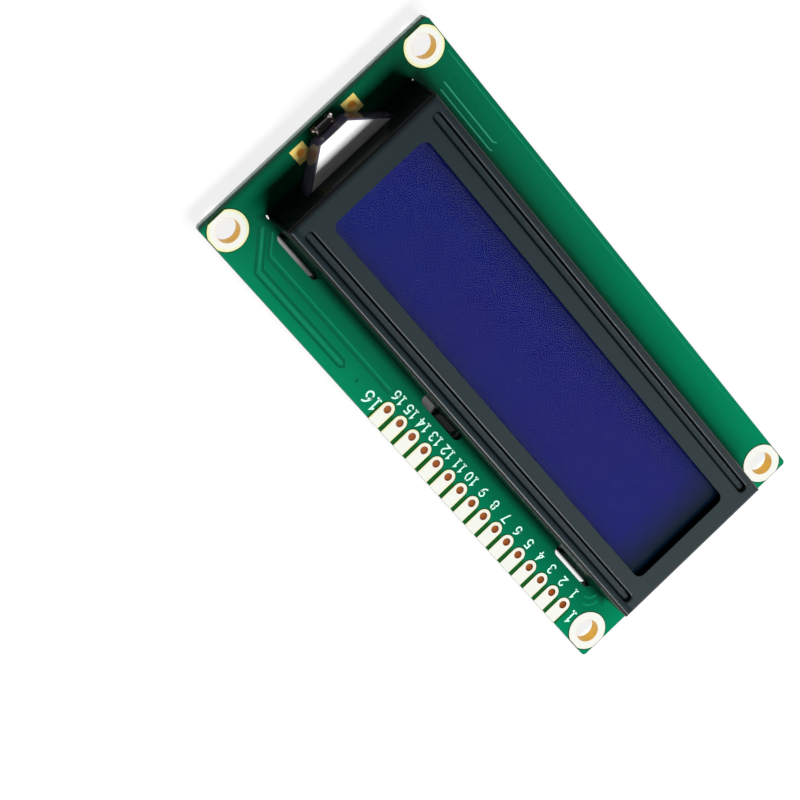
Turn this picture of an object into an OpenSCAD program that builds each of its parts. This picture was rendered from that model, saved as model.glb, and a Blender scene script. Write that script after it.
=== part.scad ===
// Character LCD module: a printed circuit board that carries a display cell and its
// side-lit backlight under a folded and stamped sheet-metal bezel.
// Origin: centre of the mounting-hole pattern, on the rear face of the board.
// +Z points out of the display, +X runs along the pin row away from pin 1,
// +Y points to the long edge that holds the pin row.

/* [Board] */
// Length of the circuit board
board_l = 80; // [79:0.5:90]
// Width of the circuit board
board_w = 36; // [35.5:0.5:42]
// Thickness of the circuit board
board_t = 1.6; // [1:0.1:2.4]
// Radius of the board's corners
board_r = 0.5; // [0.2:0.1:1.2]
// Thickness of plated metal on the board's faces and in its holes
plating_t = 0.05; // [0.03:0.01:0.08]

/* [Mounting holes] */
// Distance from the board's edges to the centre of a mounting hole
mount_inset = 2.5; // [2.5:0.05:2.7]
// Finished diameter of a mounting hole
mount_d = 3; // [2.4:0.1:3.4]
// Diameter of the plated land round a mounting hole
mount_land_d = 5.1; // [4:0.1:5.4]
// Strip along the board's edges that the mounting lands leave free
land_edge = 0.1; // [0.05:0.05:0.4]
// Strip along the board's lamp end that the mounting lands leave free
land_end = 0.3; // [0.05:0.05:0.5]

/* [Pin row] */
// Number of holes for pins
pin_count = 16; // [14:1:18]
// Distance between neighbouring pin holes
pin_pitch = 2.54; // [2.3:0.02:2.6]
// Distance from the board's end to the first pin hole
pin_start = 8; // [7:0.5:12]
// Distance from the board's long edge to the pin holes
pin_inset = 2.4; // [1.8:0.1:2.8]
// Finished diameter of a pin hole
pin_d = 1; // [0.8:0.05:1.2]
// Width of the finger-shaped land of a pin
pin_land_w = 1.9; // [1.6:0.05:2]

/* [Bezel] */
// Length of the bezel, over its end walls
bezel_l = 70.8; // [69:0.1:71.4]
// Width of the bezel, over its side walls
bezel_w = 23.2; // [22.4:0.1:24]
// Height of the bezel above the board
bezel_h = 7.2; // [6.6:0.1:9]
// Offset of the bezel from the board's centre line
bezel_y = -0.5; // [-1:0.1:0]
// Thickness of the bezel's sheet metal
sheet_t = 0.4; // [0.3:0.05:0.5]
// Outer radius of the bezel's bends
bend_r = 0.7; // [0.55:0.05:1]
// Length of the window
window_l = 64.5; // [60:0.5:65]
// Width of the window
window_w = 14.7; // [12:0.1:15.5]
// Corner radius of the window
window_r = 1; // [0.3:0.1:2]
// Width of the open seam between a side wall and an end wall
seam_w = 0.15; // [0.1:0.05:0.3]

/* [Stiffening beads] */
// Distance from the bezel's side to the middle of a bead
bead_inset = 1.65; // [1.6:0.05:1.9]
// Distance from the bezel's end to the end of a bead
bead_end = 1.4; // [1.2:0.1:4]
// Width of a bead's flat floor
bead_floor_w = 0.2; // [0.1:0.05:0.4]
// Depth of a bead below the bezel's face
bead_depth = 0.8; // [0.6:0.05:0.9]

/* [Bezel tabs] */
// Distance from the middle of the bezel to an outer tab
tab_x = 28.95; // [20:0.5:30]
// Length of an outer tab
tab_l = 7; // [4:0.5:8]
// Length of the middle tab
mid_tab_l = 3.2; // [2.6:0.1:5]
// Offset of the middle tab in its slot
mid_tab_shift = -2; // [-2.2:0.1:0.5]
// Height above the board at which a tab leaves the wall
tab_root = 2.6; // [1.5:0.1:3.5]
// Step by which the outer tabs stand out from the wall
tab_step = 0.45; // [0.3:0.05:0.5]
// Depth of the tabs below the rear of the board
tab_drop = 1.5; // [1.4:0.1:2.5]
// Angle to which a tab's end is crimped under the board
tab_crimp = 35; // [20:1:45]
// Saw cut on each side of a tab
tab_slit = 0.15; // [0.1:0.05:0.3]
// Width of the slots in the board
slot_w = 1.5; // [1.4:0.05:1.8]
// Free length at each end of a tab in its slot
slot_end = 0.3; // [0.2:0.05:0.6]
// Free space in a slot behind the wall's inner face
slot_back = 0.15; // [0.1:0.05:0.3]
// Distance from the board's faces to the bends of a tab
tab_clear = 0.2; // [0.1:0.05:0.3]

/* [Display cell] */
// Thickness of each sheet of display glass
glass_t = 1.1; // [0.7:0.05:1.2]
// Free space between the upper glass and the bezel's walls
glass_gap = 0.3; // [0.15:0.05:0.5]
// Thickness of the seal between the two sheets of glass
seal_t = 0.05; // [0.03:0.01:0.1]
// Width of the seal
seal_w = 1; // [0.6:0.1:1.5]
// Thickness of a polarising film
polariser_t = 0.2; // [0.15:0.01:0.25]
// Overlap of the front polarising film beyond the window
polariser_lap = 0.8; // [0.3:0.1:0.8]
// Margin of the rear polarising film inside the edge of the lower glass
polariser_margin = 0.6; // [0.4:0.1:1]
// Width of an elastomer contact strip
zebra_w = 1.8; // [1.4:0.1:1.8]
// Free space between a contact strip and the lower glass
zebra_gap = 0.3; // [0.2:0.05:0.5]
// Number of contact fingers in each row
finger_count = 48; // [24:1:50]
// Distance between neighbouring contact fingers
finger_pitch = 1.3; // [1.1:0.05:1.35]
// Width of a contact finger
finger_w = 0.8; // [0.4:0.05:0.9]

/* [Backlight] */
// Thickness of the diffuser sheet
diffuser_t = 0.35; // [0.2:0.05:0.5]
// Thickness of the reflector sheet
reflector_t = 0.2; // [0.1:0.05:0.3]
// Margin of the light guide inside the edge of the lower glass
guide_margin = 0.35; // [0.2:0.05:0.8]
// Free space between the blunt end of the light guide and the bezel
guide_end_gap = 1.2; // [0.5:0.1:2]
// Depth inside the bezel at which the light guide starts to narrow
guide_taper = 1.8; // [1.5:0.1:3]
// Length by which the light guide stands out of the bezel
tongue_l = 3.3; // [2.5:0.1:3.3]
// Width of the light guide's tip
tongue_tip_w = 4.8; // [4:0.1:5.4]
// Offset of the tip from the middle of the bezel
tongue_y = -0.2; // [-0.5:0.1:0.5]
// Free space round the light guide in the bezel's end wall
tongue_gap = 0.3; // [0.2:0.05:0.6]
// Thickness of the white film on the tongue
film_t = 0.08; // [0.05:0.01:0.12]
// Margin of the white film inside the tongue's edges
film_margin = 0.3; // [0.15:0.05:0.5]

/* [Backlight lamp] */
// Length of the lamp along the tip of the light guide
led_l = 2.6; // [2:0.1:3.2]
// Depth of the lamp
led_d = 0.85; // [0.6:0.05:0.85]
// Height of the lamp
led_h = 1; // [0.6:0.05:1.4]
// Free space between the lamp and the light guide
led_gap = 0.1; // [0.05:0.05:0.15]
// Length of a metal end of the lamp
led_end_l = 0.4; // [0.3:0.05:0.6]
// Side of a square test land beside the tongue
land_w = 2.05; // [1.6:0.05:2.1]
// Distance from the board's end to the middle of a square land
land_inset = 1.7; // [1.6:0.05:2]
// Distance between the two square lands
land_span = 8.05; // [7.6:0.05:9]
// Diameter of the filled hole in a square land
land_hole_d = 1.3; // [0.9:0.05:1.4]
// Depth of the dish over the filled hole
land_dish = 0.14; // [0.08:0.01:0.2]
// Width of the flat rim between the dish and the edge of its hole
dish_rim = 0.1; // [0.05:0.05:0.2]

/* [Rear components] */
// Diameter of the larger resin drop, over the controller chip
controller_d = 14; // [10:0.5:15]
// Diameter of the smaller resin drop, over the driver chip
driver_d = 12; // [9:0.5:14]
// Height of the resin drops
drop_h = 1.2; // [0.8:0.1:1.3]
// Distance between the middles of the two resin drops
drop_span = 30; // [24:1:34]
// Length of a chip resistor or capacitor
chip_l = 2; // [1.6:0.1:2.4]
// Width of a chip resistor or capacitor
chip_w = 1.25; // [0.8:0.05:1.4]
// Height of a chip resistor
resistor_h = 0.5; // [0.4:0.05:0.7]
// Height of a chip capacitor
capacitor_h = 0.85; // [0.6:0.05:1.1]
// Length of a chip's metal end
chip_end_l = 0.4; // [0.25:0.05:0.5]
// Number of chip resistors
resistor_count = 7; // [3:1:8]
// Number of chip capacitors
capacitor_count = 4; // [2:1:5]
// Distance between neighbouring chips
chip_pitch = 3.4; // [3:0.1:4]
// Distance from the slots in the board to the chips beside them
chip_gap = 1.2; // [1:0.1:1.6]

/* [Hidden] */
$fn = 48;
e = 0.01;
top = board_t;
land_top = top + plating_t;
mount_dx = board_l - 2 * mount_inset;
mount_dy = board_w - 2 * mount_inset;
pin_x0 = -board_l / 2 + pin_start;
pin_y = board_w / 2 - pin_inset;

// Bezel: its inside, and the shape of a bead pressed into its face
in_l = bezel_l - 2 * sheet_t;
in_w = bezel_w - 2 * sheet_t;
in_h = bezel_h - sheet_t;
bead_r = bead_depth / 2;
bead_y = bezel_w / 2 - bead_inset;
bead_run = bezel_l / 2 - bead_end - bead_floor_w / 2 - 2 * bead_r;

// Tabs: [middle of slot, middle of tab, length of tab, step out from the wall, way of crimp]
tabs = [
    [-tab_x, -tab_x, tab_l, tab_step, -1],
    [0, mid_tab_shift, mid_tab_l, 0, 1],
    [tab_x, tab_x, tab_l, tab_step, -1]
];
mid_slot_l = mid_tab_l + 2 * abs(mid_tab_shift) + 2 * slot_end;
slot_y = bezel_w / 2 - sheet_t + slot_w / 2 - slot_back;

// Display cell, stacked down from the floor of the beads
glass_top = top + bezel_h - bead_depth - sheet_t;
upper_l = in_l - 2 * glass_gap;
upper_w = in_w - 2 * glass_gap;
seal_top = glass_top - glass_t;
lower_top = seal_top - seal_t;
lower_w = 2 * (bead_y - zebra_w / 2 - zebra_gap);
rear_film_top = lower_top - glass_t;
diffuser_top = rear_film_top - polariser_t;
guide_top = diffuser_top - diffuser_t;
guide_bottom = land_top + reflector_t;

// Light guide: its outline, and its half width at a place along the board
guide_hw = lower_w / 2 - guide_margin;
guide_x0 = -in_l / 2 + guide_end_gap;
guide_x1 = bezel_l / 2 - guide_taper;
tip_x = bezel_l / 2 + tongue_l;
tip_y = bezel_y + tongue_y;
function side_y(x, side) =
    let (f = (x - guide_x1) / (tip_x - guide_x1))
    (1 - f) * (bezel_y + side * guide_hw) + f * (tip_y + side * tongue_tip_w / 2);
mouth_x = in_l / 2;
mouth_y0 = side_y(mouth_x, -1) - tongue_gap;
mouth_y1 = side_y(mouth_x, 1) + tongue_gap;
mouth_top = guide_top + film_t + tongue_gap;

// Lamp at the tip of the light guide
led_x = tip_x + led_gap;
led_body_l = led_l - 2 * led_end_l;
land_x = board_l / 2 - land_inset;

// Chips on the rear, in two rows between the slots and the resin drops
chip_row_y = slot_y - slot_w / 2 - chip_gap - chip_l / 2;

// A point list for a strip of even thickness that follows a path of straight runs
function unit(v) = v / norm(v);
function left(v) = [-v[1], v[0]];
function mitre(a, b) = (a + b) / (1 + a * b);
function side_points(path, t) =
    let (n = len(path) - 1)
    let (normals = [for (i = [0:n - 1]) left(unit(path[i + 1] - path[i]))])
    [for (i = [0:n]) path[i] + t * mitre(normals[max(i - 1, 0)], normals[min(i, n - 1)])];
function reverse(list) = [for (i = [len(list) - 1:-1:0]) list[i]];

module strip(path, t) {
    polygon(concat(path, reverse(side_points(path, t))));
}

module rounded_rect(l, w, r) {
    square([l - 2 * r, w], center = true);
    square([l, w - 2 * r], center = true);
    for (x = [-1, 1], y = [-1, 1])
        translate([x * (l / 2 - r), y * (w / 2 - r)]) circle(r);
}

module centred_box(l, w, z0, z1, y = 0) {
    translate([-l / 2, y - w / 2, z0]) cube([l, w, z1 - z0]);
}

// ---- Circuit board ----

module at_mounts() {
    for (x = [-1, 1], y = [-1, 1])
        translate([x * mount_dx / 2, y * mount_dy / 2, 0]) children();
}

module at_pins() {
    for (i = [0:pin_count - 1])
        translate([pin_x0 + i * pin_pitch, pin_y, 0]) children();
}

module at_square_lands() {
    for (side = [-1, 1])
        translate([land_x, tip_y + side * land_span / 2, 0]) children();
}

module slot(l) {
    r = slot_w / 2;
    translate([0, 0, -e]) linear_extrude(board_t + 2 * e) {
        square([l - 2 * r, slot_w], center = true);
        for (side = [-1, 1]) translate([side * (l / 2 - r), 0]) circle(r);
    }
}

module board() {
    color([0.02, 0.42, 0.27]) difference() {
        linear_extrude(board_t) rounded_rect(board_l, board_w, board_r);
        at_mounts() through(mount_d / 2 + plating_t);
        at_pins() through(pin_d / 2 + plating_t);
        at_square_lands() through(land_hole_d / 2);
        for (tab = tabs, side = [-1, 1])
            translate([tab[0], bezel_y + side * slot_y, 0])
                slot(tab[0] == 0 ? mid_slot_l : tab_l + 2 * slot_end);
    }
}

module through(r) {
    translate([0, 0, -e]) cylinder(r = r, h = board_t + 2 * e);
}

// Land on both faces, joined through the board by a plated hole
module plated(r) {
    difference() {
        union() {
            for (z = [-plating_t, board_t])
                translate([0, 0, z]) linear_extrude(plating_t) children();
            cylinder(r = r + plating_t, h = board_t);
        }
        translate([0, 0, -plating_t - e]) cylinder(r = r, h = board_t + 2 * plating_t + 2 * e);
    }
}

// Part of the board's faces that the mounting lands may cover
module land_area() {
    translate([land_edge - board_l / 2, land_edge - board_w / 2])
        square([board_l - land_edge - land_end, board_w - 2 * land_edge]);
}

module mounting_lands() {
    color([0.93, 0.91, 0.8]) for (x = [-1, 1], y = [-1, 1]) {
        place = [x * mount_dx / 2, y * mount_dy / 2];
        translate(place) plated(mount_d / 2) intersection() {
            circle(mount_land_d / 2);
            translate(-place) land_area();
        }
    }
}

module pin_lands() {
    color([0.93, 0.91, 0.8]) at_pins() plated(pin_d / 2) {
        circle(pin_land_w / 2);
        translate([-pin_land_w / 2, 0]) square([pin_land_w, pin_inset]);
    }
}

// Square lands with a filled hole that is left slightly dished
module backlight_lands() {
    dish_d = land_hole_d - 2 * dish_rim;
    dish_r = (dish_d * dish_d / 4 + land_dish * land_dish) / (2 * land_dish);
    color([0.9, 0.7, 0.25]) at_square_lands() difference() {
        union() {
            cylinder(d = land_hole_d, h = board_t);
            for (z = [-plating_t, board_t])
                translate([0, 0, z]) centred_box(land_w, land_w, 0, plating_t);
        }
        translate([0, 0, board_t + plating_t - land_dish + dish_r]) sphere(dish_r);
    }
}

module contact_fingers() {
    row_l = (finger_count - 1) * finger_pitch;
    color([0.85, 0.65, 0.25]) for (side = [-1, 1], i = [0:finger_count - 1])
        translate([i * finger_pitch - row_l / 2, bezel_y + side * bead_y, 0])
            centred_box(finger_w, zebra_w, top, land_top);
}

module lamp_lands() {
    color([0.9, 0.7, 0.25]) for (side = [-1, 1])
        translate([led_x, tip_y + side * (led_l - led_end_l) / 2, top])
            translate([0, -led_end_l, 0]) cube([led_d, 2 * led_end_l, plating_t]);
}

// ---- Bezel ----

module bend_profile(l, h, r) {
    translate([-l / 2, 0]) square([l, h - r]);
    translate([-l / 2 + r, 0]) square([l - 2 * r, h]);
    for (side = [-1, 1]) translate([side * (l / 2 - r), h - r]) circle(r);
}

// Block with its four upper edges bent over, used for the outside and the inside
module folded_block(l, w, h, r) {
    intersection() {
        rotate([90, 0, 0]) linear_extrude(w, center = true) bend_profile(l, h, r);
        rotate([90, 0, 90]) linear_extrude(l, center = true) bend_profile(w, h, r);
    }
}

// Section of a bead's groove: convex shoulders that run into concave corners
module bead_groove_2d() {
    half = bead_floor_w / 2;
    mouth = half + 2 * bead_r;
    difference() {
        translate([-mouth, -bead_r]) square([2 * mouth, bead_r + e]);
        for (side = [-1, 1]) translate([side * mouth, -bead_r]) circle(bead_r);
    }
    translate([-half, -bead_depth]) square([2 * half, bead_r + e]);
    for (side = [-1, 1]) translate([side * half, -bead_r]) circle(bead_r);
}

// Section of the same bead's back, from the middle of the sheet down
module bead_back_2d() {
    back_w = bead_floor_w + 2 * bead_r + 2 * sheet_t;
    back_h = bead_depth + sheet_t;
    intersection() {
        mirror([0, 1]) bend_profile(back_w, back_h, bead_r + sheet_t);
        translate([-back_w / 2, -back_h]) square([back_w, back_h - sheet_t / 2]);
    }
}

// Carries a bead's section along its run and round both of its ends
module along_bead() {
    rotate([90, 0, 90]) linear_extrude(2 * bead_run, center = true) children();
    for (side = [-1, 1])
        translate([side * bead_run, 0, 0]) rotate_extrude() intersection() {
            children();
            translate([0, -bezel_h]) square([bezel_h, 2 * bezel_h]);
        }
}

module at_beads() {
    for (side = [-1, 1]) translate([0, side * bead_y, bezel_h]) children();
}

// Path of a tab's inner face, from inside the wall down to below the board;
// the first number runs outwards from the inner face of the wall, the second upwards
function tab_path(step, way) =
    let (bend_z = -board_t - tab_clear)
    let (end_z = -board_t - 2 * tab_drop)
    [
        [0, tab_root + sheet_t],
        [0, tab_root],
        [step, tab_clear],
        [step, bend_z],
        [step + way * (bend_z - end_z) * tan(tab_crimp), end_z]
    ];

module tab(step, way, l) {
    rotate([90, 0, 90]) linear_extrude(l, center = true) intersection() {
        strip(tab_path(step, way), sheet_t);
        translate([-bezel_h, -board_t - tab_drop]) square(2 * bezel_h);
    }
}

module bezel() {
    color([0.13, 0.14, 0.15]) translate([0, bezel_y, top]) {
        difference() {
            union() {
                difference() {
                    folded_block(bezel_l, bezel_w, bezel_h, bend_r);
                    translate([0, 0, -e]) folded_block(in_l, in_w, in_h + e, bend_r - sheet_t);
                }
                at_beads() along_bead() bead_back_2d();
            }
            at_beads() along_bead() bead_groove_2d();
            translate([0, 0, in_h - e]) linear_extrude(sheet_t + 2 * e)
                rounded_rect(window_l, window_w, window_r);
            // opening in the end wall for the light guide
            translate([mouth_x - e, mouth_y0 - bezel_y, -e])
                cube([sheet_t + 2 * e, mouth_y1 - mouth_y0, mouth_top - top + e]);
            // open seams beside the side walls
            for (x = [-1, 1], y = [-1, 1])
                translate([x * (bezel_l - sheet_t) / 2, y * (in_w - seam_w) / 2, -e])
                    centred_box(sheet_t + 2 * e, seam_w, 0, bezel_h - bend_r);
            // room in the side walls for the tabs
            for (tab = tabs, side = [-1, 1])
                translate([tab[1], side * (bezel_w - sheet_t) / 2, -e])
                    centred_box(tab[2] + 2 * tab_slit, sheet_t + 2 * e, 0, tab_root + e);
        }
        for (tab = tabs, side = [-1, 1])
            mirror([0, side < 0 ? 1 : 0, 0])
                translate([tab[1], in_w / 2, 0]) tab(tab[3], tab[4], tab[2]);
    }
}

// ---- Display cell ----

module upper_glass() {
    color([0.1, 0.12, 0.45, 0.8]) centred_box(upper_l, upper_w, seal_top, glass_top, bezel_y);
}

module lower_glass() {
    color([0.6, 0.65, 0.7, 0.7])
        centred_box(upper_l, lower_w, lower_top - glass_t, lower_top, bezel_y);
}

module edge_seal() {
    color([0.3, 0.3, 0.3]) difference() {
        centred_box(upper_l, lower_w, lower_top, seal_top, bezel_y);
        centred_box(upper_l - 2 * seal_w, lower_w - 2 * seal_w, lower_top - e, seal_top + e, bezel_y);
    }
}

module front_polariser() {
    color([0.12, 0.12, 0.42]) centred_box(
        window_l + 2 * polariser_lap, window_w + 2 * polariser_lap,
        glass_top, glass_top + polariser_t, bezel_y);
}

module rear_polariser() {
    color([0.35, 0.35, 0.4]) centred_box(
        upper_l - 2 * polariser_margin, lower_w - 2 * polariser_margin,
        diffuser_top, rear_film_top, bezel_y);
}

module contact_strip(side) {
    color([0.85, 0.55, 0.6])
        centred_box(upper_l - 2 * seal_w, zebra_w, land_top, seal_top, bezel_y + side * bead_y);
}

module pin_side_contact_strip() {
    contact_strip(1);
}

module far_side_contact_strip() {
    contact_strip(-1);
}

// ---- Backlight ----

module light_guide() {
    color([0.85, 0.88, 0.9, 0.6]) translate([0, 0, guide_bottom])
        linear_extrude(guide_top - guide_bottom) polygon([
            [guide_x0, bezel_y - guide_hw],
            [guide_x1, bezel_y - guide_hw],
            [tip_x, tip_y - tongue_tip_w / 2],
            [tip_x, tip_y + tongue_tip_w / 2],
            [guide_x1, bezel_y + guide_hw],
            [guide_x0, bezel_y + guide_hw]
        ]);
}

module sheet_under_cell(z0, z1) {
    translate([guide_x0, bezel_y - guide_hw, z0])
        cube([guide_x1 - guide_x0, 2 * guide_hw, z1 - z0]);
}

module diffuser() {
    color([0.95, 0.95, 0.97]) sheet_under_cell(guide_top, diffuser_top);
}

module reflector() {
    color([0.98, 0.98, 0.98]) sheet_under_cell(land_top, guide_bottom);
}

module tongue_film() {
    film_x = guide_x1 + film_margin;
    color([0.97, 0.97, 0.97]) translate([0, 0, guide_top]) linear_extrude(film_t) polygon([
        [film_x, side_y(film_x, -1) + film_margin],
        [tip_x, side_y(tip_x, -1) + film_margin],
        [tip_x, side_y(tip_x, 1) - film_margin],
        [film_x, side_y(film_x, 1) - film_margin]
    ]);
}

module lamp_body() {
    color([0.2, 0.17, 0.15]) translate([led_x, tip_y - led_body_l / 2, land_top])
        cube([led_d, led_body_l, led_h]);
}

module lamp_ends() {
    color([0.85, 0.75, 0.5]) for (side = [-1, 1])
        translate([led_x, tip_y + side * (led_l - led_end_l) / 2, 0])
            translate([0, -led_end_l / 2, land_top]) cube([led_d, led_end_l, led_h]);
}

// ---- Rear of the board ----

// Flat drop of resin that hardened over a chip
module resin_drop(d) {
    sphere_r = (d * d / 4 + drop_h * drop_h) / (2 * drop_h);
    mirror([0, 0, 1]) rotate_extrude() intersection() {
        translate([0, drop_h - sphere_r]) circle(sphere_r, $fn = 240);
        square([d, drop_h]);
    }
}

module controller_drop() {
    color([0.06, 0.06, 0.06]) translate([-drop_span / 2, bezel_y, 0]) resin_drop(controller_d);
}

module driver_drop() {
    color([0.06, 0.06, 0.06]) translate([drop_span / 2, bezel_y, 0]) resin_drop(driver_d);
}

module chip_row(count, y) {
    for (i = [0:count - 1])
        translate([(i - (count - 1) / 2) * chip_pitch, y, 0]) children();
}

module chip_body(h) {
    centred_box(chip_w, chip_l - 2 * chip_end_l, -h, 0);
}

module chip_ends(h) {
    for (side = [-1, 1])
        centred_box(chip_w, chip_end_l, -h, 0, side * (chip_l - chip_end_l) / 2);
}

module at_resistors() {
    chip_row(resistor_count, bezel_y + chip_row_y) children();
}

module at_capacitors() {
    chip_row(capacitor_count, bezel_y - chip_row_y) children();
}

module resistor_bodies() {
    color([0.08, 0.08, 0.09]) at_resistors() chip_body(resistor_h);
}

module resistor_ends() {
    color([0.8, 0.8, 0.8]) at_resistors() chip_ends(resistor_h);
}

module capacitor_bodies() {
    color([0.66, 0.5, 0.34]) at_capacitors() chip_body(capacitor_h);
}

module capacitor_ends() {
    color([0.8, 0.8, 0.8]) at_capacitors() chip_ends(capacitor_h);
}

board();
mounting_lands();
pin_lands();
backlight_lands();
contact_fingers();
lamp_lands();
bezel();
upper_glass();
lower_glass();
edge_seal();
front_polariser();
rear_polariser();
pin_side_contact_strip();
far_side_contact_strip();
light_guide();
diffuser();
reflector();
tongue_film();
lamp_body();
lamp_ends();
controller_drop();
driver_drop();
resistor_bodies();
resistor_ends();
capacitor_bodies();
capacitor_ends();
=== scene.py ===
import bpy
import numpy as np
from mathutils import Matrix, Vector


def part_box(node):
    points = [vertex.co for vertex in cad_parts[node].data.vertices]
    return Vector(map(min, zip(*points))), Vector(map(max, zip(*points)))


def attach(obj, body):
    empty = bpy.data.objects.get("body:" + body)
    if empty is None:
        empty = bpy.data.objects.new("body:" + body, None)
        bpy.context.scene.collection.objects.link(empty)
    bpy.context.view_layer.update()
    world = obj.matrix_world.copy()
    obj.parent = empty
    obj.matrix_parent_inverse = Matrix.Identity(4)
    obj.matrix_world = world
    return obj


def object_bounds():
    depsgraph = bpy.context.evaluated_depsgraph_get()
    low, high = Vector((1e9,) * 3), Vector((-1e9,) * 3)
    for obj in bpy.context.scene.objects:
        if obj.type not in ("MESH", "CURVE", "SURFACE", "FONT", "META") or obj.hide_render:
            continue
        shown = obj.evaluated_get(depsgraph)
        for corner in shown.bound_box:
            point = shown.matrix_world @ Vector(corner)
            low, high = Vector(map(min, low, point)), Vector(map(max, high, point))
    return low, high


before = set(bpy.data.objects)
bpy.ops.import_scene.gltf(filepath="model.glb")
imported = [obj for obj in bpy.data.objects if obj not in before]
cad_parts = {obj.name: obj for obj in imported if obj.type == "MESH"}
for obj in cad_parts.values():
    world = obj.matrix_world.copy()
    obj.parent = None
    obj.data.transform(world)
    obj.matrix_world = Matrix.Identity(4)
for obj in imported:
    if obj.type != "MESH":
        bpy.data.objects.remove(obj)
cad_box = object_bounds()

scene = bpy.context.scene
scene.view_settings.view_transform = "Standard"
mm = 0.001

# ---- Circuit board ----
# Glass-fibre laminate with green solder resist on both faces, routed to 80 x 36 mm.
# The resist stops short of every land and leaves a thin ring of bare laminate there.
# The cut edges show the laminate, green under the front face and pale toward the rear.
board_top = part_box("board")[1].z
board_half_l, board_half_w, board_middle = 40 * mm, 18 * mm, 0.8 * mm
bezel_half_l, bezel_half_w, bezel_y = 35.4 * mm, 11.6 * mm, -0.5 * mm
mount_x, mount_y = 37.5 * mm, 15.5 * mm
land_r = 2.55 * mm
pin_count, pin_pitch = 16, 2.54 * mm
first_pin_x, pin_y = -32 * mm, 15.6 * mm
finger_half_w = 0.95 * mm
resist_gap = 0.12 * mm
resist_green = (0.0003, 0.1, 0.045)
resist_painted_light = (0.0006, 0.155, 0.069)
resist_painted_shade = (0.0003, 0.02, 0.01)
resist_over_laminate = (0.004, 0.07, 0.01)
laminate_dark = (0.004, 0.032, 0.006)
edge_green = (0.008, 0.07, 0.04)
edge_pale = (0.6, 0.7, 0.65)
edge_turn = (0.45 * mm, 0.95 * mm)
cloud_scale, cloud_reach = 90, 2 * mm
painted_light_band = (1.5 * mm, 5.5 * mm)
far_shade, end_shade = 0.45, 0.6
far_band, far_run, end_band = (-5 * mm, -12 * mm), (-45 * mm, 45 * mm), (39.3 * mm, 40 * mm)
foot_shade_width = 1.1 * mm
far_foot_shade_width = 0.8 * mm
finger_band = (15.3 * mm, 15.9 * mm)


def new_material(name, colour, roughness, **settings):
    """A material with one Principled BSDF; settings name its sockets, with _ for a space."""
    material = bpy.data.materials.new(name)
    material.use_nodes = True
    inputs = material.node_tree.nodes["Principled BSDF"].inputs
    inputs["Base Color"].default_value = (*colour, 1)
    inputs["Roughness"].default_value = roughness
    for socket, value in settings.items():
        inputs[socket.replace("_", " ")].default_value = value
    return material


def feed(tree, value, socket):
    """Sets a socket to a number or colour, or links it to another socket."""
    if isinstance(value, bpy.types.NodeSocket):
        tree.links.new(value, socket)
    elif isinstance(value, tuple):
        socket.default_value = (*value, 1)
    else:
        socket.default_value = value


def finish_with(tree, socket, value):
    """Links a value to one socket of the material's Principled BSDF."""
    tree.links.new(value, tree.nodes["Principled BSDF"].inputs[socket])


def calc(tree, operation, *values):
    """The result of one Math node on numbers or sockets."""
    node = tree.nodes.new("ShaderNodeMath")
    node.operation = operation
    for value, socket in zip(values, node.inputs):
        feed(tree, value, socket)
    return node.outputs[0]


def ramp(tree, value, start, end):
    """0 where value is at start or before it, 1 at end or past it, and a straight run between."""
    node = tree.nodes.new("ShaderNodeMapRange")
    feed(tree, value, node.inputs["Value"])
    node.inputs["From Min"].default_value = start
    node.inputs["From Max"].default_value = end
    return node.outputs["Result"]


def mix(tree, share, first, second):
    """first where share is 0, second where it is 1."""
    node = tree.nodes.new("ShaderNodeMix")
    node.data_type = "RGBA"
    feed(tree, share, node.inputs[0])
    feed(tree, first, node.inputs[6])
    feed(tree, second, node.inputs[7])
    return node.outputs[2]


def place(tree):
    """The point on the piece, and its x, y and z, in metres."""
    where = tree.nodes.new("ShaderNodeTexCoord").outputs["Object"]
    split = tree.nodes.new("ShaderNodeSeparateXYZ")
    tree.links.new(where, split.inputs[0])
    return where, *split.outputs


def clouds(tree, where, scale):
    """Soft noise between 0 and 1, with so many waves to the metre."""
    node = tree.nodes.new("ShaderNodeTexNoise")
    node.inputs["Scale"].default_value = scale
    tree.links.new(where, node.inputs["Vector"])
    return node.outputs["Fac"]


def facing_up(tree):
    """The size of the normal's z part: 1 on flat faces, 0 on upright walls."""
    split = tree.nodes.new("ShaderNodeSeparateXYZ")
    tree.links.new(tree.nodes.new("ShaderNodeNewGeometry").outputs["Normal"], split.inputs[0])
    return calc(tree, "ABSOLUTE", split.outputs["Z"])


def make_surface_grain():
    """Node group: noise of a given size. Roughness is the given roughness plus the noise about
    its middle times twice the spread, and Grain is the noise itself."""
    group = bpy.data.node_groups.new("surface_grain", "ShaderNodeTree")
    for name, default in (("Size", 1.0), ("Roughness", 0.4), ("Spread", 0.05)):
        socket = group.interface.new_socket(name, in_out="INPUT", socket_type="NodeSocketFloat")
        socket.default_value = default
    for name in ("Roughness", "Grain"):
        group.interface.new_socket(name, in_out="OUTPUT", socket_type="NodeSocketFloat")
    inside = group.nodes.new("NodeGroupInput").outputs
    outside = group.nodes.new("NodeGroupOutput").inputs
    noise = group.nodes.new("ShaderNodeTexNoise")
    noise.inputs["Detail"].default_value = 3
    where = group.nodes.new("ShaderNodeTexCoord").outputs["Object"]
    group.links.new(where, noise.inputs["Vector"])
    group.links.new(calc(group, "DIVIDE", 1.0, inside["Size"]), noise.inputs["Scale"])
    grain = noise.outputs["Fac"]
    offset = calc(group, "MULTIPLY", calc(group, "SUBTRACT", grain, 0.5), inside["Spread"])
    uneven = calc(group, "MULTIPLY_ADD", offset, 2.0, inside["Roughness"])
    group.links.new(uneven, outside["Roughness"])
    group.links.new(grain, outside["Grain"])
    return group


surface_grain = make_surface_grain()


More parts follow.
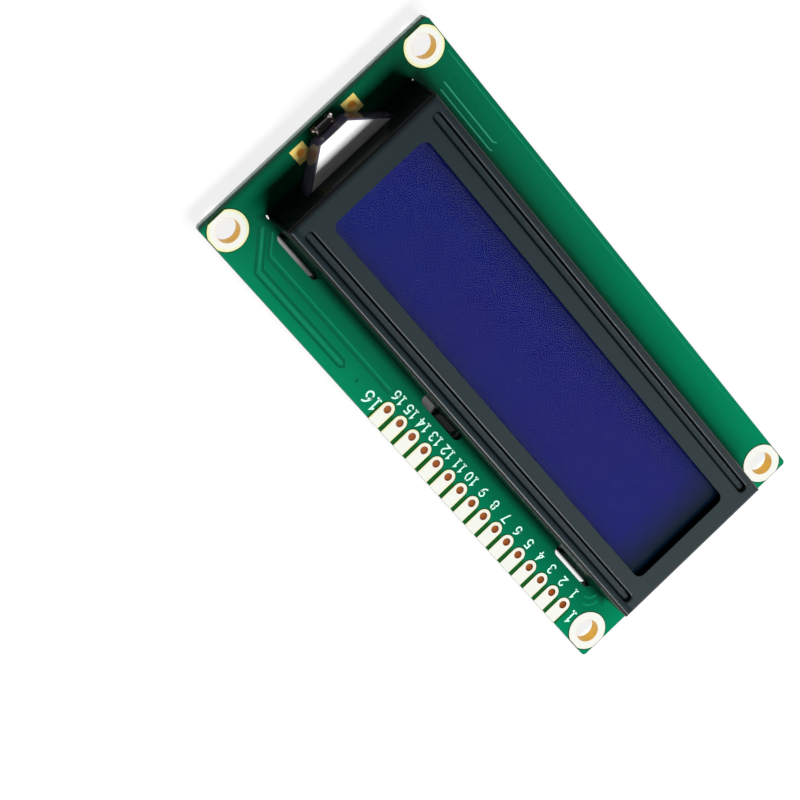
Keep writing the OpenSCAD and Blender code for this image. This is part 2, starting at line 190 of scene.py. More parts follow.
def roughen(material, size, spread, height):
    """Puts the grain group on a material: noise of one size that spreads its roughness and
    raises a low bump. Gives the noise, for a colour that follows it."""
    tree = material.node_tree
    shader = tree.nodes["Principled BSDF"].inputs
    grain = tree.nodes.new("ShaderNodeGroup")
    grain.node_tree = surface_grain
    roughness = shader["Roughness"].default_value
    for name, value in (("Size", size), ("Roughness", roughness), ("Spread", spread)):
        grain.inputs[name].default_value = value
    tree.links.new(grain.outputs["Roughness"], shader["Roughness"])
    bump = tree.nodes.new("ShaderNodeBump")
    bump.inputs["Strength"].default_value = 1
    bump.inputs["Distance"].default_value = height
    tree.links.new(grain.outputs["Grain"], bump.inputs["Height"])
    tree.links.new(bump.outputs["Normal"], shader["Normal"])
    return grain.outputs["Grain"]


def dress(node, material):
    """Gives a CAD node its finish, in every slot it has."""
    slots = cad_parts[node].material_slots
    if not slots:
        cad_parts[node].data.materials.append(material)
    for slot in slots:
        slot.material = material


def make_land_distance():
    """Node group: how far a point lies from the axis of the nearest mounting hole, from the
    axis of the nearest pin hole, and from the middle line of that pin's finger, which runs
    from its hole to the long edge. Past the ends of the row both pin distances grow fast."""
    group = bpy.data.node_groups.new("land_distance", "ShaderNodeTree")
    for name in ("Mount", "Pin", "Finger"):
        group.interface.new_socket(name, in_out="OUTPUT", socket_type="NodeSocketFloat")
    outside = group.nodes.new("NodeGroupOutput")
    _, x, y, _ = place(group)
    row_start = first_pin_x - pin_pitch / 2
    row_end = row_start + pin_count * pin_pitch

    def length(across, along):
        """The root of the sum of two squares."""
        squares = calc(group, "MULTIPLY_ADD", across, across, calc(group, "MULTIPLY", along, along))
        return calc(group, "SQRT", squares)

    mount = length(calc(group, "SUBTRACT", calc(group, "ABSOLUTE", x), mount_x),
                   calc(group, "SUBTRACT", calc(group, "ABSOLUTE", y), mount_y))
    from_pin_x = calc(group, "PINGPONG", calc(group, "SUBTRACT", x, first_pin_x), pin_pitch / 2)
    from_pin_y = calc(group, "SUBTRACT", y, pin_y)
    past_row = calc(group, "MAXIMUM", calc(group, "SUBTRACT", row_start, x),
                    calc(group, "SUBTRACT", x, row_end))
    beyond = calc(group, "MULTIPLY", calc(group, "MAXIMUM", past_row, 0.0), 100.0)
    pin = calc(group, "ADD", length(from_pin_x, from_pin_y), beyond)
    toward_bezel = calc(group, "MINIMUM", from_pin_y, 0.0)
    finger = calc(group, "ADD", length(from_pin_x, toward_bezel), beyond)
    for name, distance in (("Mount", mount), ("Pin", pin), ("Finger", finger)):
        group.links.new(distance, outside.inputs[name])
    return group


land_distance = make_land_distance()


def land_distances(tree):
    """The three distances to the lands, in metres."""
    node = tree.nodes.new("ShaderNodeGroup")
    node.node_tree = land_distance
    return tuple(node.outputs)


solder_resist = new_material("green_board", resist_green, 0.15, Specular_IOR_Level=0.02)
roughen(solder_resist, 0.35 * mm, 0.03, 0.002 * mm)
tree = solder_resist.node_tree
where, x, y, z = place(tree)
mount, _, finger = land_distances(tree)

# Painted light: it is paler in an uneven band along the long edges and the end with pin 1, so the
# board reads darker in the bezel's shade further in.
from_edge = calc(tree, "MINIMUM", calc(tree, "ADD", x, board_half_l),
                 calc(tree, "SUBTRACT", board_half_w, calc(tree, "ABSOLUTE", y)))
uneven = calc(tree, "MULTIPLY", clouds(tree, where, cloud_scale), cloud_reach)
depth = calc(tree, "ADD", from_edge, uneven)
resist = mix(tree, ramp(tree, depth, *painted_light_band), resist_painted_light, resist_green)

# Painted shade: it is darker along the far edge toward the lamp, where less light reaches, and at the
# very end.
far_side = calc(tree, "MULTIPLY", ramp(tree, y, *far_band), ramp(tree, x, *far_run))
shade_share = calc(tree, "MAXIMUM", calc(tree, "MULTIPLY", far_side, far_shade),
             calc(tree, "MULTIPLY", ramp(tree, x, *end_band), end_shade))
resist = mix(tree, shade_share, resist, resist_painted_shade)

# Painted shade: on the front it is darkest along the bezel's foot, in the bezel's shadow, in a wider
# band on the far side.
off_y = calc(tree, "ABSOLUTE", calc(tree, "SUBTRACT", y, bezel_y - far_foot_shade_width / 2))
from_bezel = calc(tree, "MAXIMUM",
                  calc(tree, "SUBTRACT", calc(tree, "ABSOLUTE", x), bezel_half_l),
                  calc(tree, "SUBTRACT", off_y, bezel_half_w + far_foot_shade_width / 2))
on_front = calc(tree, "GREATER_THAN", z, board_middle)
shade_at_foot = calc(tree, "MULTIPLY", ramp(tree, from_bezel, foot_shade_width, 0.0), on_front)
resist = mix(tree, shade_at_foot, resist, resist_painted_shade)

# Between the pins' fingers no copper lies under it, and round every land it stops.
among_fingers = calc(tree, "MULTIPLY",
                     calc(tree, "LESS_THAN", finger, pin_pitch / 2 + 0.001 * mm),
                     ramp(tree, y, *finger_band))
resist = mix(tree, among_fingers, resist, resist_over_laminate)
ring = calc(tree, "MAXIMUM", calc(tree, "LESS_THAN", mount, land_r + resist_gap),
            calc(tree, "LESS_THAN", finger, finger_half_w + resist_gap))
faces = mix(tree, ring, resist, laminate_dark)
edges = mix(tree, ramp(tree, z, *edge_turn), edge_pale, edge_green)
flat = calc(tree, "GREATER_THAN", facing_up(tree), 0.5)
finish_with(tree, "Base Color", mix(tree, flat, edges, faces))
dress("board", solder_resist)

# ---- Plated lands ----
# Copper rings round the mounting holes and finger-shaped lands at the pin holes, dipped
# in solder. The faces are bright, a little yellow where the dip is thin at their rims,
# and the walls of the holes show the copper through.
tin_face = (0.93, 0.94, 0.87)
tin_rim = (0.91, 0.93, 0.5)
rim_w, rim_blotch = 0.26 * mm, 0.3 * mm
rim_growth = 0.004
mount_bore, mount_bore_r = (0.8, 0.45, 0.06), 1.5 * mm
pin_bore, pin_bore_r = (0.5, 0.13, 0.0), 0.5 * mm
bore_edge, bore_metallic = 0.04 * mm, 0.8

tinned_copper = new_material("tinned_copper", tin_face, 0.34, Metallic=1.0, Specular_IOR_Level=0.1)
grain = roughen(tinned_copper, 0.6 * mm, 0.08, 0.01 * mm)
tree = tinned_copper.node_tree
_, x, y, z = place(tree)
mount, pin, finger = land_distances(tree)
from_rim = calc(tree, "MAXIMUM", calc(tree, "SUBTRACT", land_r, mount),
                calc(tree, "SUBTRACT", finger_half_w, finger))
blotch = calc(tree, "MULTIPLY", calc(tree, "SUBTRACT", grain, 0.5), rim_blotch)
from_rim = calc(tree, "SUBTRACT", calc(tree, "ADD", from_rim, blotch),
                calc(tree, "MULTIPLY", x, rim_growth))
faces = mix(tree, ramp(tree, from_rim, 0.0, rim_w), tin_rim, tin_face)
in_mount_bore = ramp(tree, mount, mount_bore_r + bore_edge, mount_bore_r)
in_pin_bore = ramp(tree, pin, pin_bore_r + bore_edge, pin_bore_r)
plating = mix(tree, in_pin_bore, mix(tree, in_mount_bore, faces, mount_bore), pin_bore)
finish_with(tree, "Base Color", plating)
bare = calc(tree, "MAXIMUM", in_mount_bore, in_pin_bore)
finish_with(tree, "Metallic", calc(tree, "MULTIPLY_ADD", bare, bore_metallic - 1, 1.0))
dress("mounting_lands", tinned_copper)
dress("pin_lands", tinned_copper)

# ---- Gold-plated lands ----
# Thin gold over copper: the two square test lands with their dished, filled holes, the
# contact fingers under the elastomer strips, and the lands that carry the lamp.
gold_face = (1.0, 0.78, 0.2)
gold_dish = (0.75, 0.28, 0.01)
square_x, square_y, square_span = 38.3 * mm, -0.7 * mm, 4.025 * mm
dish_edge = (0.35 * mm, 0.7 * mm)

gold_plating = new_material("gold_plating", gold_face, 0.36, Metallic=0.05)
roughen(gold_plating, 0.4 * mm, 0.1, 0.01 * mm)
tree = gold_plating.node_tree
_, x, y, z = place(tree)
off_x = calc(tree, "SUBTRACT", x, square_x)
off_y = calc(tree, "SUBTRACT", calc(tree, "ABSOLUTE", calc(tree, "SUBTRACT", y, square_y)),
             square_span)
from_dish = calc(tree, "SQRT", calc(tree, "ADD", calc(tree, "MULTIPLY", off_x, off_x),
                                    calc(tree, "MULTIPLY", off_y, off_y)))
gold = mix(tree, ramp(tree, from_dish, *dish_edge), gold_dish, gold_face)
finish_with(tree, "Base Color", gold)
for node in ("backlight_lands", "contact_fingers", "lamp_lands"):
    dress(node, gold_plating)

# ---- Tracks under the resist ----
# Etched copper, 0.03 mm proud, under the green resist on both faces. Over a track the resist
# is paler, where the copper was cleared beside one it is darker, and vias are low domes.
# Paths and places are in millimetres, each path with its width.
track_h, gap_h, sunk = 0.03 * mm, 0.006 * mm, 0.01 * mm
over_track = (0.001, 0.15, 0.076)
far_track_painted_highlight = (0.02, 0.23, 0.145)
over_gap = (0.0003, 0.08, 0.036)
front_track_paths = [
    ([(14.9, 16.05), (31.0, 16.05), (34.7, 12.35)], 0.42),
    ([(7.8, 13.72), (31.5, 13.72), (33.4, 11.85)], 0.24),
    ([(21.75, -13.95), (22.1, -13.82), (32.0, -13.82)], 0.2),
    ([(22.1, -14.95), (22.5, -14.7), (32.4, -14.7)], 0.22),
    ([(-30, -17.4), (35, -17.4)], 0.26),
    ([(-35.3, 12.1), (-35.15, 12.75), (-34.75, 13.3), (-34.1, 13.6)], 0.3),
    ([(-34.5, 11.7), (-34.3, 12.2), (-33.95, 12.6), (-33.4, 12.85)], 0.3),
]
front_gap_paths = [
    ([(35.0, 12.7), (31.2, 16.5), (14.9, 16.5), (14.35, 16.1), (14.9, 15.55), (30.9, 15.55),
      (34.2, 12.2)], 0.34),
    ([(7.6, 14.2), (31.5, 14.2), (33.7, 12.0)], 0.34),
    ([(-34.9, 11.9), (-34.7, 12.5), (-34.3, 12.95), (-33.7, 13.25)], 0.2),
]
front_via_places = [(14.95, 16.05), (11.8, 16.0), (27.3, -15.9), (31.7, -15.9), (15.2, 12.0)]
front_via_radii = (0.26 * mm, 0.26 * mm, track_h)
rear_via_places = [((first_pin_x + pin * pin_pitch) / mm, 13.2) for pin in range(pin_count)]
rear_via_radii = (0.35 * mm, 0.35 * mm, 0.04 * mm)
rear_track_paths = [([(via_x, 14.8), (via_x, via_y)], 0.3) for via_x, via_y in rear_via_places]
rear_track_paths += [([(-10, row * 0.8), (10, row * 0.8)], 0.3) for row in range(-5, 6)]


def carry_band(path, width, height, base):
    """A low band carried along a path of points. It runs half the width to each side along
    the mitre of the two runs that meet, its section is a plateau with sloped edges, and both
    ends are round: a half width beyond each end it narrows as the cosine of a quarter turn."""
    path = np.array(path, float)
    half = width / 2
    turn = np.radians([84, 63, 42, 21])[:, None]
    runs = np.diff(path, axis=0)
    runs /= np.linalg.norm(runs, axis=1)[:, None]
    head = path[0] - runs[0] * half * np.sin(turn)
    tail = (path[-1] + runs[-1] * half * np.sin(turn))[::-1]
    points = np.concatenate([head, path, tail])
    cap = half * np.cos(turn[:, 0])
    halves = np.concatenate([cap, np.full(len(path), half), cap[::-1]])
    sides = np.stack([-runs[:, 1], runs[:, 0]], 1)
    before = np.concatenate([sides[:1], sides])
    after = np.concatenate([sides, sides[-1:]])
    mitres = (before + after) / (1 + (before * after).sum(1))[:, None]
    mitres = np.concatenate([np.repeat(mitres[:1], 4, 0), mitres, np.repeat(mitres[-1:], 4, 0)])
    slope = np.minimum(halves * 0.35, height)
    offsets = np.stack([-halves, slope - halves, halves - slope, halves], 1)
    flat = points[:, None] + offsets[..., None] * mitres[:, None]
    levels = [base - sunk, base + height, base + height, base - sunk]
    levels = np.broadcast_to(levels, offsets.shape)
    return np.concatenate([flat, levels[..., None]], 2)


def half_dome(centre, radii):
    """Half an ellipsoid that stands on a flat: its rings shrink as the cosine of the height
    angle while the height grows as its sine."""
    turn = np.radians(np.linspace(0, 360, 25))[None, :]
    rise = np.radians(np.linspace(0, 90, 9))[:, None]
    shape = np.stack([np.cos(turn) * np.cos(rise), np.sin(turn) * np.cos(rise),
                      np.sin(rise) + 0 * turn], 2)
    return np.array(centre) + np.array(radii) * shape[:, ::-1]


def turn_over(grid):
    """The same grid hung under the board: z changes sign, and the rows run the other way, so
    that the faces still point outwards."""
    return grid[::-1] * (1, 1, -1)


def skin(grids):
    """Points and quads for several point grids, each joined row to row, column to column."""
    points, quads, start = [], [], 0
    for grid in grids:
        rows, columns = grid.shape[:2]
        corner = np.arange(rows * columns).reshape(rows, columns)
        around = [corner[:-1, :-1], corner[1:, :-1], corner[1:, 1:], corner[:-1, 1:]]
        quads.append(start + np.stack(around, 2).reshape(-1, 4))
        points.append(grid.reshape(-1, 3))
        start += rows * columns
    return np.concatenate(points), np.concatenate(quads)


def add_piece(name, grids, material, smooth=False):
    """A new piece from point grids. It rides on the module, and a slot names its finish."""
    points, quads = skin(grids)
    mesh = bpy.data.meshes.new(name)
    mesh.from_pydata(points.tolist(), [], quads.tolist())
    if smooth:
        mesh.shade_smooth()
    else:
        mesh.shade_flat()
    mesh.materials.append(material)
    piece = bpy.data.objects.new(name, mesh)
    scene.collection.objects.link(piece)
    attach(piece, "root")


def carry_bands(paths, height, base):
    """One band for each path and width in millimetres."""
    return [carry_band(np.array(path) * mm, width * mm, height, base) for path, width in paths]


resist_over_track = new_material("resist_over_track", over_track, 0.15, Specular_IOR_Level=0.06)
roughen(resist_over_track, 0.35 * mm, 0.03, 0.002 * mm)
tree = resist_over_track.node_tree
_, x, y, z = place(tree)
# Painted highlight: the thin tracks on the far side are paler still, for the light that glances along
# them.
far_track_glint = calc(tree, "MULTIPLY", calc(tree, "LESS_THAN", y, 0.0),
                 calc(tree, "GREATER_THAN", y, -16 * mm))
finish_with(tree, "Base Color", mix(tree, far_track_glint, over_track, far_track_painted_highlight))
resist_over_gap = new_material("resist_over_gap", over_gap, 0.15, Specular_IOR_Level=0.03)
roughen(resist_over_gap, 0.35 * mm, 0.03, 0.002 * mm)

front_tracks = carry_bands(front_track_paths, track_h, board_top)
add_piece("front_tracks", front_tracks, resist_over_track)
front_gaps = carry_bands(front_gap_paths, gap_h, board_top)
front_vias = [half_dome((via_x * mm, via_y * mm, board_top - sunk), front_via_radii)
              for via_x, via_y in front_via_places]
add_piece("front_track_gaps", front_gaps + front_vias, resist_over_gap)
rear_tracks = [turn_over(band) for band in carry_bands(rear_track_paths, track_h, 0.0)]
rear_vias = [turn_over(half_dome((via_x * mm, via_y * mm, -sunk), rear_via_radii))
             for via_x, via_y in rear_via_places]
add_piece("rear_tracks", rear_tracks + rear_vias, resist_over_track)

# ---- Printed numbers ----
# White ink, screened on the resist in strokes of even width: the pin numbers in a row
# under the lands, and larger marks for the first and the last pin. A digit is drawn in
# strokes, as shares of its height.
ink_h = 0.02 * mm
label_y, label_h, label_stroke = 13.05 * mm, 1.18 * mm, 0.21 * mm
mark_h, mark_stroke = 1.6 * mm, 0.25 * mm
digit_w, digit_pitch = 0.6, 0.86


def bow(centre_x, centre_y, radius_x, radius_y, start, end):
    """Points on an ellipse from one angle to another, in degrees."""
    turn = np.radians(np.linspace(start, end, 13))
    return list(zip(centre_x + radius_x * np.cos(turn), centre_y + radius_y * np.sin(turn)))


six = [bow(0.3, 0.3, 0.3, 0.3, 90, 450), bow(0.56, 0.3, 0.56, 0.7, 180, 96)]
digits = {
    "0": [bow(0.3, 0.5, 0.3, 0.5, 90, 450)],
    "1": [[(0.14, 0.82), (0.32, 1), (0.32, 0)], [(0.14, 0), (0.5, 0)]],
    "2": [bow(0.3, 0.7, 0.28, 0.3, 160, -35) + [(0.02, 0), (0.6, 0)]],
    "3": [bow(0.28, 0.76, 0.26, 0.24, 150, -80), bow(0.28, 0.27, 0.3, 0.27, 80, -150)],
    "4": [[(0.6, 0.3), (0, 0.3), (0.42, 1), (0.42, 0)]],
    "5": [[(0.56, 1), (0.08, 1), (0.05, 0.54)] + bow(0.28, 0.31, 0.31, 0.31, 125, -150)],
    "6": six,
    "7": [[(0, 1), (0.6, 1), (0.2, 0)]],
    "8": [bow(0.3, 0.76, 0.24, 0.24, 90, 450), bow(0.3, 0.27, 0.3, 0.27, 90, 450)],
    "9": [[(digit_w - px, 1 - py) for px, py in stroke] for stroke in six],
}


def print_number(text, centre_x, foot_y, height, stroke):
    """The bands of a number, centred on a place along the board."""
    start = -((len(text) - 1) * digit_pitch + digit_w) / 2
    bands = []
    for order, digit in enumerate(text):
        for line in digits[digit]:
            points = (np.array(line) + (start + order * digit_pitch, 0)) * height
            bands.append(carry_band(points + (centre_x, foot_y), stroke, ink_h, board_top))
    return bands


printed = [band for pin in range(pin_count)
           for band in print_number(str(pin + 1), first_pin_x + pin * pin_pitch,
                                    label_y, label_h, label_stroke)]
printed += print_number("1", -34.2 * mm, 15.1 * mm, mark_h, mark_stroke)
printed += print_number("16", 8.45 * mm, 15.5 * mm, mark_h, mark_stroke)
white_ink = new_material("white_ink", (0.52, 0.81, 0.68), 0.5)
roughen(white_ink, 0.2 * mm, 0.08, 0.01 * mm)
add_piece("printed_numbers", printed, white_ink)

# ---- Bezel ----
# Sheet steel, 0.4 mm, folded to a tray with two pressed beads, then sprayed satin black.
# The sheen is painted: the paint reflects more toward pin 1 and the pin edge and less on a strip
# beyond the pin-side bead, and the upright walls are painted darker and nearly matt, as painted
# shade.
# Two specks of bright steel at the foot of the seams by the lamp are painted highlights, standing in
# for glints there.
paint_lit_top = (0.0065, 0.014, 0.017)
paint_shaded_wall = (0.002, 0.0035, 0.004)
top_sheen, wall_sheen = 0.28, 0.06
sheen_along, sheen_across = -3.0, 2.5
top_tilt = (0.55, 1.0)
less_sheen_from, less_sheen_to, sheen_cut = (9.8 * mm, 10.0 * mm), (10.9 * mm, 10.3 * mm), 0.7

black_paint = new_material("black_painted_steel", paint_lit_top, 0.25)
roughen(black_paint, 0.14 * mm, 0.05, 0.003 * mm)
tree = black_paint.node_tree
_, x, y, z = place(tree)
top = ramp(tree, facing_up(tree), *top_tilt)
# Painted reflection: the sheen grows toward pin 1 and toward the pin edge, and a strip beyond the
# pin-side bead gets less of it.
painted_sheen = calc(tree, "MULTIPLY_ADD", y, sheen_across,
             calc(tree, "MULTIPLY_ADD", x, sheen_along, top_sheen))
less_sheen_strip = calc(tree, "MULTIPLY", ramp(tree, y, *less_sheen_from), ramp(tree, y, *less_sheen_to))
painted_sheen = calc(tree, "MULTIPLY", painted_sheen, calc(tree, "MULTIPLY_ADD", less_sheen_strip, -sheen_cut, 1.0))
painted_sheen = calc(tree, "MULTIPLY_ADD", calc(tree, "SUBTRACT", painted_sheen, wall_sheen), top, wall_sheen)
finish_with(tree, "Specular IOR Level", painted_sheen)
# Painted shade: the upright walls take a darker copy of the paint than the top.
finish_with(tree, "Base Color", mix(tree, top, paint_shaded_wall, paint_lit_top))
dress("bezel", black_paint)

# Painted highlights: bright steel specks that stand in for glints on the seams.
glint_steel = new_material("glint_steel", (0.95, 0.86, 0.87), 0.2, Metallic=1.0)
roughen(glint_steel, 0.1 * mm, 0.1, 0.02 * mm)
pin_side_foot = (bezel_half_l - 0.1 * mm, bezel_y + bezel_half_w - 0.05 * mm, board_top)
far_side_foot = (bezel_half_l - 0.2 * mm, bezel_y - bezel_half_w + 0.1 * mm, board_top)
glint_specks = [half_dome(pin_side_foot, (0.4 * mm, 0.2 * mm, 0.3 * mm)),
         half_dome(far_side_foot, (0.3 * mm, 0.15 * mm, 0.2 * mm))]
add_piece("seam_glints", glint_specks, glint_steel, smooth=True)

# ---- Display cell ----
# Two sheets of glass sealed at their edge, with a polarising film on the front and one at
# the back. The blue lies at the lower glass, and it is seen through the film and the glass.
# Painted shade: it is deeper along both long sides, and a painted shadow of the bezel's lip makes it
# nearly black at the end with pin 1.
blue_violet = (0.0075, 0.001, 0.138)
blue_clear = (0.002, 0.004, 0.152)
blue_side_shade = (0.003, 0.002, 0.088)
blue_end_shadow = (0.0015, 0.003, 0.012)
side_shade_band = (4 * mm, 8 * mm)
end_shadow_band = (-32.0 * mm, -27.0 * mm)
cell_cloud_scale = 60

front_film = new_material("blue_polarising_film", (0.0, 0.02, 0.055), 0.1, Alpha=0.12,
                          Specular_IOR_Level=0.8)
roughen(front_film, 0.5 * mm, 0.02, 0.0)
clear_glass = new_material("display_glass", (0.02, 0.02, 0.06), 0.05, Alpha=0.04)
roughen(clear_glass, 2 * mm, 0.02, 0.0)
blue_layer = new_material("rear_glass", blue_clear, 0.3, Specular_IOR_Level=0.0)
tree = blue_layer.node_tree
where, x, y, z = place(tree)
blue = mix(tree, ramp(tree, clouds(tree, where, cell_cloud_scale), 0.3, 0.7), blue_violet, blue_clear)
# Painted shade along the long sides, and a painted shadow of the lip at the end with pin 1.
blue = mix(tree, ramp(tree, calc(tree, "ABSOLUTE", y), *side_shade_band), blue, blue_side_shade)
finish_with(tree, "Base Color", mix(tree, ramp(tree, x, *end_shadow_band), blue_end_shadow, blue))
seal_resin = new_material("seal_resin", (0.03, 0.03, 0.035), 0.4)
roughen(seal_resin, 0.3 * mm, 0.1, 0.01 * mm)
rear_film = new_material("rear_polarising_film", (0.05, 0.05, 0.07), 0.3)
roughen(rear_film, 0.5 * mm, 0.05, 0.0)
dress("front_polariser", front_film)
dress("upper_glass", clear_glass)
dress("lower_glass", blue_layer)
dress("edge_seal", seal_resin)
dress("rear_polariser", rear_film)

# ---- Contact strips ----
# Silicone rubber with layers of carbon, which press on the contact fingers and carry the
# signals up to the glass.
contact_elastomer = new_material("contact_elastomer", (0.6, 0.25, 0.28), 0.6)
roughen(contact_elastomer, 0.1 * mm, 0.05, 0.01 * mm)
dress("pin_side_contact_strip", contact_elastomer)
dress("far_side_contact_strip", contact_elastomer)

# ---- Backlight ----
# A moulded acrylic light guide between a white reflector and a diffuser sheet. Its tongue
# stands out of the bezel under a white film and narrows to the lamp.
clear_acrylic = new_material("clear_acrylic", (0.045, 0.04, 0.07), 0.1)
roughen(clear_acrylic, 0.8 * mm, 0.04, 0.004 * mm)
diffuser_film = new_material("diffuser_film", (0.85, 0.85, 0.88), 0.5)
roughen(diffuser_film, 0.1 * mm, 0.1, 0.005 * mm)
white_film = new_material("white_film", (0.95, 0.95, 0.955), 0.4)
roughen(white_film, 0.3 * mm, 0.06, 0.004 * mm)
dress("light_guide", clear_acrylic)
dress("diffuser", diffuser_film)
dress("reflector", white_film)
dress("tongue_film", white_film)

# ---- Lamp ----
# A side-looking chip lamp: dark resin between two tinned ends. The solder has climbed from the lands
# to the ends in low mounds; its colour is painted light, mostly brown as painted shade, with bright
# spots as painted highlights.
solder_painted_glint = (0.9, 0.87, 0.82)
solder_painted_shade = (0.05, 0.028, 0.012)
fillet_radii = (0.4 * mm, 0.42 * mm, 0.6 * mm)
fillet_shift = 0.05 * mm

lamp_resin = new_material("lamp_resin", (0.012, 0.006, 0.006), 0.2)
roughen(lamp_resin, 0.2 * mm, 0.1, 0.01 * mm)
lamp_solder = new_material("lamp_solder", solder_painted_glint, 0.25, Metallic=1.0)
grain = roughen(lamp_solder, 0.28 * mm, 0.1, 0.03 * mm)
tree = lamp_solder.node_tree
# Painted light: brown as painted shade, with bright spots as painted highlights.
solder = mix(tree, ramp(tree, grain, 0.54, 0.6), solder_painted_shade, solder_painted_glint)
finish_with(tree, "Base Color", solder)
dress("lamp_body", lamp_resin)
dress("lamp_ends", lamp_solder)
lamp_low, lamp_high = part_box("lamp_ends")
fillet_x = (lamp_low.x + lamp_high.x) / 2 + fillet_shift
fillets = [half_dome((fillet_x, end_y, lamp_low.z), fillet_radii)
           for end_y in (lamp_low.y, lamp_high.y)]
add_piece("lamp_fillets", fillets, lamp_solder, smooth=True)

# ---- Rear of the board ----
# Two bare chips under drops of black epoxy, and two rows of chip parts: resistors with a
# dark glaze and capacitors of speckled ceramic, all with tinned ends.
ceramic_dark = (0.3, 0.16, 0.07)
ceramic_pale = (0.46, 0.28, 0.14)

black_resin = new_material("black_resin", (0.006, 0.006, 0.0065), 0.2)
roughen(black_resin, 1.6 * mm, 0.1, 0.05 * mm)
dress("controller_drop", black_resin)
dress("driver_drop", black_resin)
resistor_glaze = new_material("resistor_glaze", (0.01, 0.01, 0.012), 0.3)
roughen(resistor_glaze, 0.3 * mm, 0.1, 0.01 * mm)
dress("resistor_bodies", resistor_glaze)
capacitor_ceramic = new_material("capacitor_ceramic", ceramic_dark, 0.5)
grain = roughen(capacitor_ceramic, 0.15 * mm, 0.1, 0.01 * mm)
tree = capacitor_ceramic.node_tree
speckle = mix(tree, ramp(tree, grain, 0.3, 0.7), ceramic_dark, ceramic_pale)
finish_with(tree, "Base Color", speckle)
dress("capacitor_bodies", capacitor_ceramic)
chip_tin = new_material("chip_tin", (0.8, 0.8, 0.78), 0.32, Metallic=1.0)
roughen(chip_tin, 0.2 * mm, 0.1, 0.02 * mm)
dress("resistor_ends", chip_tin)
dress("capacitor_ends", chip_tin)

# ---- Studio ----
# A pale floor, which the tabs stand on, and a plain sky. Both look white and give little
# light. Under the board, from its middle toward the lamp end, the floor is painted darker, a painted
# shadow that shows through the slots, and it is see-through from below.
floor_z = cad_box[0][2]
floor_half = 2
floor_pale = (0.85, 0.85, 0.85)
floor_painted_shadow = (0.2, 0.2, 0.2)
floor_glow = 0.85
shadow_half_w, shadow_x, shadow_fade = 13.5 * mm, (-20 * mm, 37 * mm), (18 * mm, 76 * mm)
sky_glow, sky_light = 0.95, 0.05
floor_corners = [(-floor_half, -floor_half, floor_z), (floor_half, -floor_half, floor_z),
                 (floor_half, floor_half, floor_z), (-floor_half, floor_half, floor_z)]
floor_mesh = bpy.data.meshes.new("studio_floor")
floor_mesh.from_pydata(floor_corners, [], [(0, 1, 2, 3)])
studio_floor = bpy.data.objects.new("studio_floor", floor_mesh)
scene.collection.objects.link(studio_floor)


def seen_directly(tree):
    """1 for camera, mirror and see-through rays, 0 for the light that falls on the object."""
    path = tree.nodes.new("ShaderNodeLightPath")
    seen = calc(tree, "MAXIMUM", path.outputs["Is Camera Ray"], path.outputs["Is Glossy Ray"])
    return calc(tree, "MAXIMUM", seen, path.outputs["Is Transmission Ray"])


floor_paint = bpy.data.materials.new("floor_paint")
floor_paint.use_nodes = True
tree = floor_paint.node_tree
tree.nodes.clear()
_, x, y, z = place(tree)
past_sides = calc(tree, "GREATER_THAN", calc(tree, "ABSOLUTE", y), shadow_half_w)
past_ends = calc(tree, "MAXIMUM", calc(tree, "LESS_THAN", x, shadow_x[0]),
                 calc(tree, "GREATER_THAN", x, shadow_x[1]))
near_end = ramp(tree, x, *shadow_fade)
beside = calc(tree, "MAXIMUM", calc(tree, "MAXIMUM", past_sides, near_end), past_ends)
matt = tree.nodes.new("ShaderNodeBsdfDiffuse")
# Painted shadow: the floor's colour and glow are cut under the board.
tree.links.new(mix(tree, beside, floor_painted_shadow, floor_pale), matt.inputs["Color"])
glow = tree.nodes.new("ShaderNodeEmission")
glow.inputs["Color"].default_value = (1, 1, 1, 1)
lit = tree.nodes.new("ShaderNodeMixShader")
glow_share = calc(tree, "MULTIPLY", seen_directly(tree), calc(tree, "MULTIPLY", beside, floor_glow))
tree.links.new(glow_share, lit.inputs[0])
tree.links.new(matt.outputs[0], lit.inputs[1])
tree.links.new(glow.outputs[0], lit.inputs[2])
both_sides = tree.nodes.new("ShaderNodeMixShader")
from_below = tree.nodes.new("ShaderNodeNewGeometry").outputs["Backfacing"]
tree.links.new(from_below, both_sides.inputs[0])
tree.links.new(lit.outputs[0], both_sides.inputs[1])
tree.links.new(tree.nodes.new("ShaderNodeBsdfTransparent").outputs[0], both_sides.inputs[2])
surface = tree.nodes.new("ShaderNodeOutputMaterial").inputs["Surface"]
tree.links.new(both_sides.outputs[0], surface)
floor_mesh.materials.append(floor_paint)

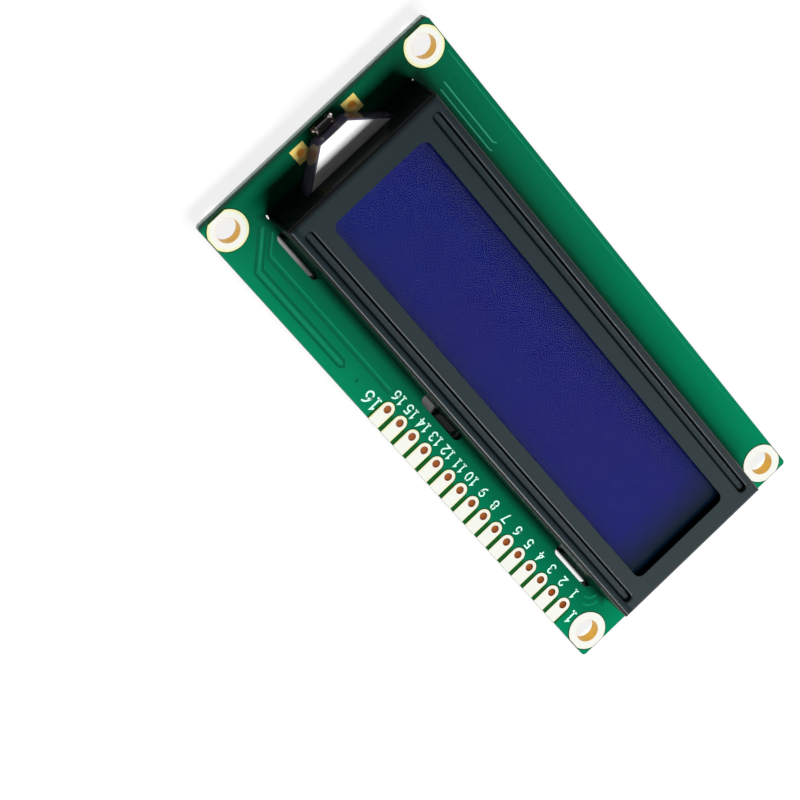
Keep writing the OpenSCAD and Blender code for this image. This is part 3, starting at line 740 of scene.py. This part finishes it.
world = bpy.data.worlds.new("studio")
world.use_nodes = True
scene.world = world
tree = world.node_tree
sky = tree.nodes["Background"].inputs
sky["Color"].default_value = (1, 1, 1, 1)
sky_strength = calc(tree, "MULTIPLY_ADD", seen_directly(tree), sky_glow, sky_light)
tree.links.new(sky_strength, sky["Strength"])

# ---- Lamps and camera ----
# A long soft box hangs over the end with pin 1 and isn't seen in gloss. A small sun from
# the pin side is seen only in gloss, and draws the highlights on the bends.
glint_from = (-0.489, 0.726, 0.481)
soft_box_from, soft_box_far, soft_box_over = (-0.455, 0.06, 0.888), 0.35, (0.035, 0, 0.008)
camera_at = (0.166775, 0.031588, 0.287840)
camera_right = (-0.58082, -0.72417, 0.37178)
camera_up = (0.65052, -0.68747, -0.32282)
camera_back = (0.48936, 0.05435, 0.87038)


def stand(at, right, up, back):
    """The matrix of a lamp or camera at a place, from its three own directions."""
    turn = Matrix(np.column_stack([right, up, back]).tolist()).to_4x4()
    return Matrix.Translation(tuple(at)) @ turn


def aim(toward, distance=0.0, centre=(0.0, 0.0, 0.0)):
    """The matrix of a lamp that stands in a direction from a centre and shines back at it."""
    toward = np.array(toward) / np.linalg.norm(toward)
    across = np.cross((0, 1, 0), toward)
    across /= np.linalg.norm(across)
    return stand(np.array(centre) + distance * toward, across, np.cross(toward, across), toward)


soft_box = bpy.data.lights.new("soft_box", "AREA")
soft_box.shape = "RECTANGLE"
soft_box.size = 0.1
soft_box.size_y = 0.26
soft_box.energy = 2.05
soft_box_lamp = bpy.data.objects.new("soft_box", soft_box)
soft_box_lamp.matrix_world = aim(soft_box_from, soft_box_far, soft_box_over)
soft_box_lamp.visible_glossy = False
scene.collection.objects.link(soft_box_lamp)

glint = bpy.data.lights.new("glint", "SUN")
glint.energy = 1.1
glint.angle = 0.15
glint_lamp = bpy.data.objects.new("glint", glint)
glint_lamp.matrix_world = aim(glint_from)
glint_lamp.visible_diffuse = False
scene.collection.objects.link(glint_lamp)

camera = bpy.data.cameras.new("camera")
camera.lens = 123.33
camera.sensor_width = 36
camera.clip_start = 0.01
view = bpy.data.objects.new("camera", camera)
view.matrix_world = stand(camera_at, camera_right, camera_up, camera_back)
scene.collection.objects.link(view)
scene.camera = view
